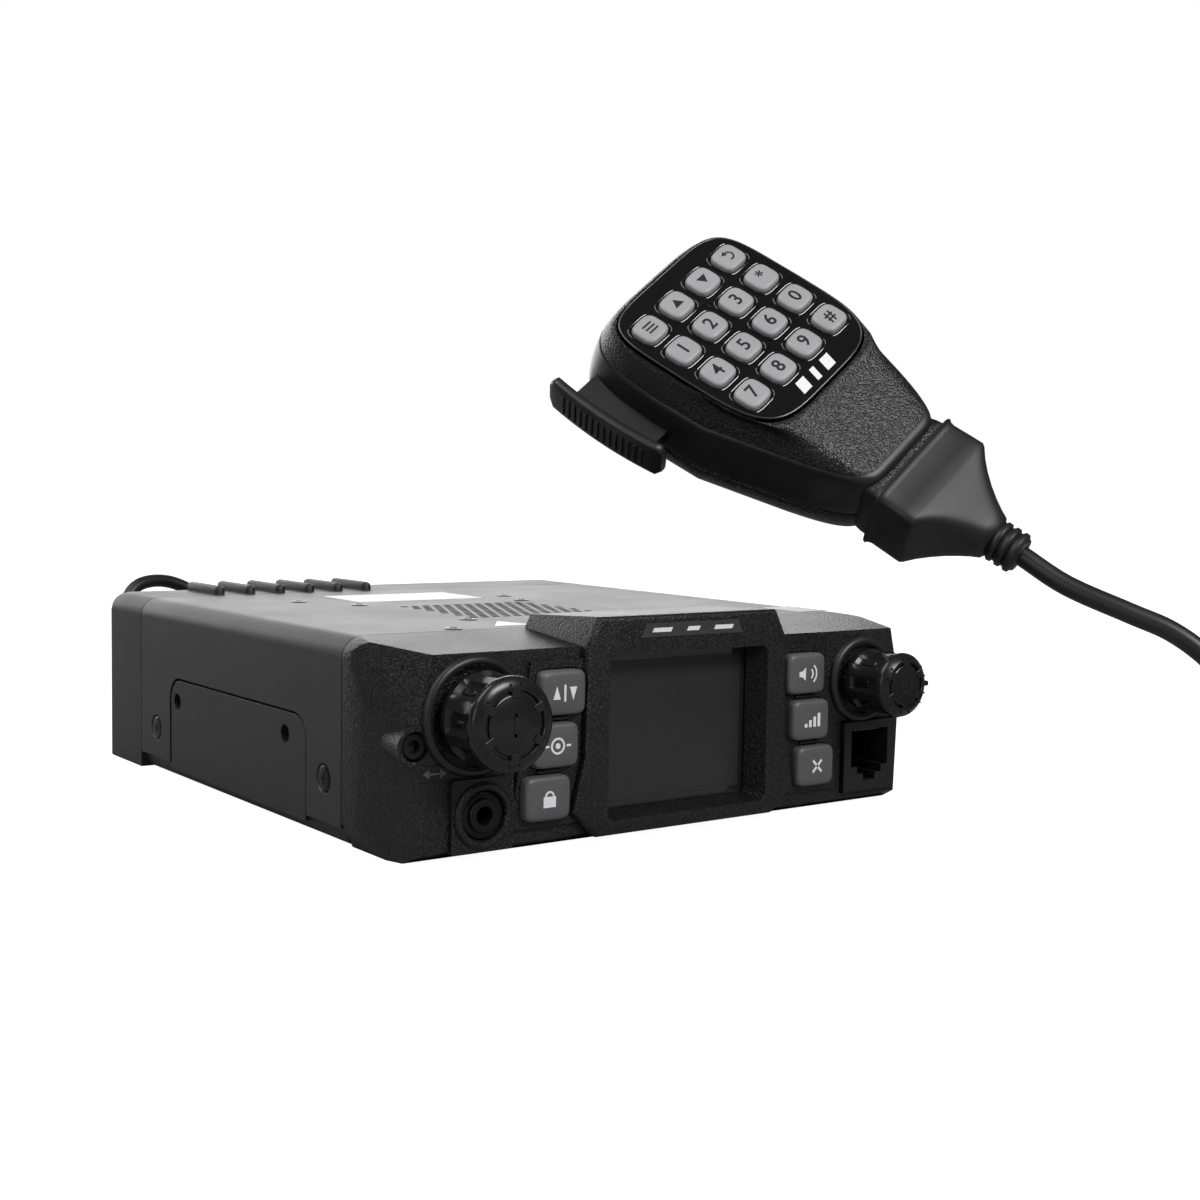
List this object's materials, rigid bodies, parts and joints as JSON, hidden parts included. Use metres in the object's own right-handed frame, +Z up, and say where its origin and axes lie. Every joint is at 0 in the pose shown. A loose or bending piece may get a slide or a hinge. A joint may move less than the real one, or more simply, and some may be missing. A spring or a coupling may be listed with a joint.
{
  "type": "mobile transceiver",
  "caption": "Compact mobile two-way radio with colour display, side knobs and panel keys, and a keypad hand microphone on a curly cord, with a supply lead behind.",
  "frame": {"origin": "centre of the radio's underside, on the surface it stands on", "axes": "+Z up, the controls face -Y, +X to the right as seen from the front"},
  "size_m": [0.2546, 0.344, 0.1401],
  "materials": {
    "casting": "fine textured black powder coat on a die casting",
    "sheet": "fine textured black powder coat on sheet metal",
    "panel_plastic": "coarse spark-textured moulding",
    "button_rubber": "smooth satin rubber",
    "knob_plastic": "satin black moulding",
    "display_glass": "clear window over a dark display",
    "bright_metal": "nickel plate",
    "dark_metal": "black oxide",
    "circuit_board": "solder mask",
    "dark_plastic": "moulded",
    "key_rubber": "matt silicone",
    "gloss_plate": "polished",
    "mic_plastic": "leather-grained moulding",
    "cord_rubber": "satin jacket",
    "clear_plastic": "clear moulding"
  },
  "bodies": {
    "radio": {"antenna_socket": "bright_metal", "channel_encoder": "dark_plastic", "chassis": "casting", "cover_screw_1": "dark_metal", "cover_screw_2": "dark_metal", "cover_screw_3": "dark_metal", "cover_screw_4": "dark_metal", "curled_cord": "cord_rubber", "data_jack": "dark_metal", "display_lens": "display_glass", "front_board": "circuit_board", "front_panel": "panel_plastic", "lcd_module": "dark_plastic", "main_board": "circuit_board", "mic_jack": "dark_plastic", "mic_lead": "cord_rubber", "mic_plug": "clear_plastic", "plug_tail": "cord_rubber", "power_connector": "dark_plastic", "power_grommet": "cord_rubber", "power_lead": "cord_rubber", "power_module": "dark_plastic", "rf_shield": "bright_metal", "speaker": "dark_plastic", "top_cover": "sheet", "volume_encoder": "dark_plastic"},
    "microphone": {"mic_front_shell": "mic_plastic", "mic_back_shell": "mic_plastic", "keypad_plate": "gloss_plate", "mic_board": "circuit_board", "mic_boot": "cord_rubber", "hanger_stud": "bright_metal"},
    "channel_control": {"channel_knob": "knob_plastic", "channel_shaft": "bright_metal"},
    "volume_push": {"volume_shaft": "bright_metal"},
    "volume_control": {"volume_knob": "knob_plastic"},
    "ptt": {"ptt_bar": "mic_plastic"},
    "panel_button_left_1": {"panel_button_left_1": "button_rubber"},
    "panel_button_left_2": {"panel_button_left_2": "button_rubber"},
    "panel_button_left_3": {"panel_button_left_3": "button_rubber"},
    "panel_button_right_1": {"panel_button_right_1": "button_rubber"},
    "panel_button_right_2": {"panel_button_right_2": "button_rubber"},
    "panel_button_right_3": {"panel_button_right_3": "button_rubber"},
    "key_menu": {"key_menu": "key_rubber"},
    "key_up": {"key_up": "key_rubber"},
    "key_down": {"key_down": "key_rubber"},
    "key_exit": {"key_exit": "key_rubber"},
    "key_1": {"key_1": "key_rubber"},
    "key_2": {"key_2": "key_rubber"},
    "key_3": {"key_3": "key_rubber"},
    "key_star": {"key_star": "key_rubber"},
    "key_4": {"key_4": "key_rubber"},
    "key_5": {"key_5": "key_rubber"},
    "key_6": {"key_6": "key_rubber"},
    "key_0": {"key_0": "key_rubber"},
    "key_7": {"key_7": "key_rubber"},
    "key_8": {"key_8": "key_rubber"},
    "key_9": {"key_9": "key_rubber"},
    "key_hash": {"key_hash": "key_rubber"}
  },
  "joints": [
    {"name": "panel_button_left_1_press", "type": "slide", "parent": "radio", "child": "panel_button_left_1", "axis": [0, 1, 0], "range_m": [0, 0.0007], "stiffness_N_per_m": 300, "springref_m": -0.001},
    {"name": "panel_button_left_2_press", "type": "slide", "parent": "radio", "child": "panel_button_left_2", "axis": [0, 1, 0], "range_m": [0, 0.0007], "stiffness_N_per_m": 300, "springref_m": -0.001},
    {"name": "panel_button_left_3_press", "type": "slide", "parent": "radio", "child": "panel_button_left_3", "axis": [0, 1, 0], "range_m": [0, 0.0007], "stiffness_N_per_m": 300, "springref_m": -0.001},
    {"name": "panel_button_right_1_press", "type": "slide", "parent": "radio", "child": "panel_button_right_1", "axis": [0, 1, 0], "range_m": [0, 0.0007], "stiffness_N_per_m": 300, "springref_m": -0.001},
    {"name": "panel_button_right_2_press", "type": "slide", "parent": "radio", "child": "panel_button_right_2", "axis": [0, 1, 0], "range_m": [0, 0.0007], "stiffness_N_per_m": 300, "springref_m": -0.001},
    {"name": "panel_button_right_3_press", "type": "slide", "parent": "radio", "child": "panel_button_right_3", "axis": [0, 1, 0], "range_m": [0, 0.0007], "stiffness_N_per_m": 300, "springref_m": -0.001},
    {"name": "channel_turn", "type": "hinge", "parent": "radio", "child": "channel_control", "pos_m": [-0.0526, -0.0925, 0.0286], "axis": [0, 1, 0], "continuous": true},
    {"name": "volume_press", "type": "slide", "parent": "radio", "child": "volume_push", "axis": [0, 1, 0], "range_m": [0, 0.0008], "stiffness_N_per_m": 400, "springref_m": -0.001},
    {"name": "volume_turn", "type": "hinge", "parent": "volume_push", "child": "volume_control", "pos_m": [0.053, -0.0925, 0.0296], "axis": [0, 1, 0], "continuous": true},
    {"name": "key_menu_press", "type": "slide", "parent": "microphone", "child": "key_menu", "axis": [0.4518, 0.6529, -0.6079], "range_m": [0, 0.0009], "stiffness_N_per_m": 250, "springref_m": -0.001},
    {"name": "key_up_press", "type": "slide", "parent": "microphone", "child": "key_up", "axis": [0.4518, 0.6529, -0.6079], "range_m": [0, 0.0009], "stiffness_N_per_m": 250, "springref_m": -0.001},
    {"name": "key_down_press", "type": "slide", "parent": "microphone", "child": "key_down", "axis": [0.4518, 0.6529, -0.6079], "range_m": [0, 0.0009], "stiffness_N_per_m": 250, "springref_m": -0.001},
    {"name": "key_exit_press", "type": "slide", "parent": "microphone", "child": "key_exit", "axis": [0.4518, 0.6529, -0.6079], "range_m": [0, 0.0009], "stiffness_N_per_m": 250, "springref_m": -0.001},
    {"name": "key_1_press", "type": "slide", "parent": "microphone", "child": "key_1", "axis": [0.4518, 0.6529, -0.6079], "range_m": [0, 0.0009], "stiffness_N_per_m": 250, "springref_m": -0.001},
    {"name": "key_2_press", "type": "slide", "parent": "microphone", "child": "key_2", "axis": [0.4518, 0.6529, -0.6079], "range_m": [0, 0.0009], "stiffness_N_per_m": 250, "springref_m": -0.001},
    {"name": "key_3_press", "type": "slide", "parent": "microphone", "child": "key_3", "axis": [0.4518, 0.6529, -0.6079], "range_m": [0, 0.0009], "stiffness_N_per_m": 250, "springref_m": -0.001},
    {"name": "key_star_press", "type": "slide", "parent": "microphone", "child": "key_star", "axis": [0.4518, 0.6529, -0.6079], "range_m": [0, 0.0009], "stiffness_N_per_m": 250, "springref_m": -0.001},
    {"name": "key_4_press", "type": "slide", "parent": "microphone", "child": "key_4", "axis": [0.4518, 0.6529, -0.6079], "range_m": [0, 0.0009], "stiffness_N_per_m": 250, "springref_m": -0.001},
    {"name": "key_5_press", "type": "slide", "parent": "microphone", "child": "key_5", "axis": [0.4518, 0.6529, -0.6079], "range_m": [0, 0.0009], "stiffness_N_per_m": 250, "springref_m": -0.001},
    {"name": "key_6_press", "type": "slide", "parent": "microphone", "child": "key_6", "axis": [0.4518, 0.6529, -0.6079], "range_m": [0, 0.0009], "stiffness_N_per_m": 250, "springref_m": -0.001},
    {"name": "key_0_press", "type": "slide", "parent": "microphone", "child": "key_0", "axis": [0.4518, 0.6529, -0.6079], "range_m": [0, 0.0009], "stiffness_N_per_m": 250, "springref_m": -0.001},
    {"name": "key_7_press", "type": "slide", "parent": "microphone", "child": "key_7", "axis": [0.4518, 0.6529, -0.6079], "range_m": [0, 0.0009], "stiffness_N_per_m": 250, "springref_m": -0.001},
    {"name": "key_8_press", "type": "slide", "parent": "microphone", "child": "key_8", "axis": [0.4518, 0.6529, -0.6079], "range_m": [0, 0.0009], "stiffness_N_per_m": 250, "springref_m": -0.001},
    {"name": "key_9_press", "type": "slide", "parent": "microphone", "child": "key_9", "axis": [0.4518, 0.6529, -0.6079], "range_m": [0, 0.0009], "stiffness_N_per_m": 250, "springref_m": -0.001},
    {"name": "key_hash_press", "type": "slide", "parent": "microphone", "child": "key_hash", "axis": [0.4518, 0.6529, -0.6079], "range_m": [0, 0.0009], "stiffness_N_per_m": 250, "springref_m": -0.001},
    {"name": "ptt_press", "type": "slide", "parent": "microphone", "child": "ptt", "axis": [0.7898, 0.0241, 0.6129], "range_m": [0, 0.0015], "stiffness_N_per_m": 500, "springref_m": -0.002},
    {"name": "mic_lift", "type": "slide", "parent": "radio", "child": "microphone", "axis": [0, 0, 1], "range_m": [0, 0.03]}
  ]
}
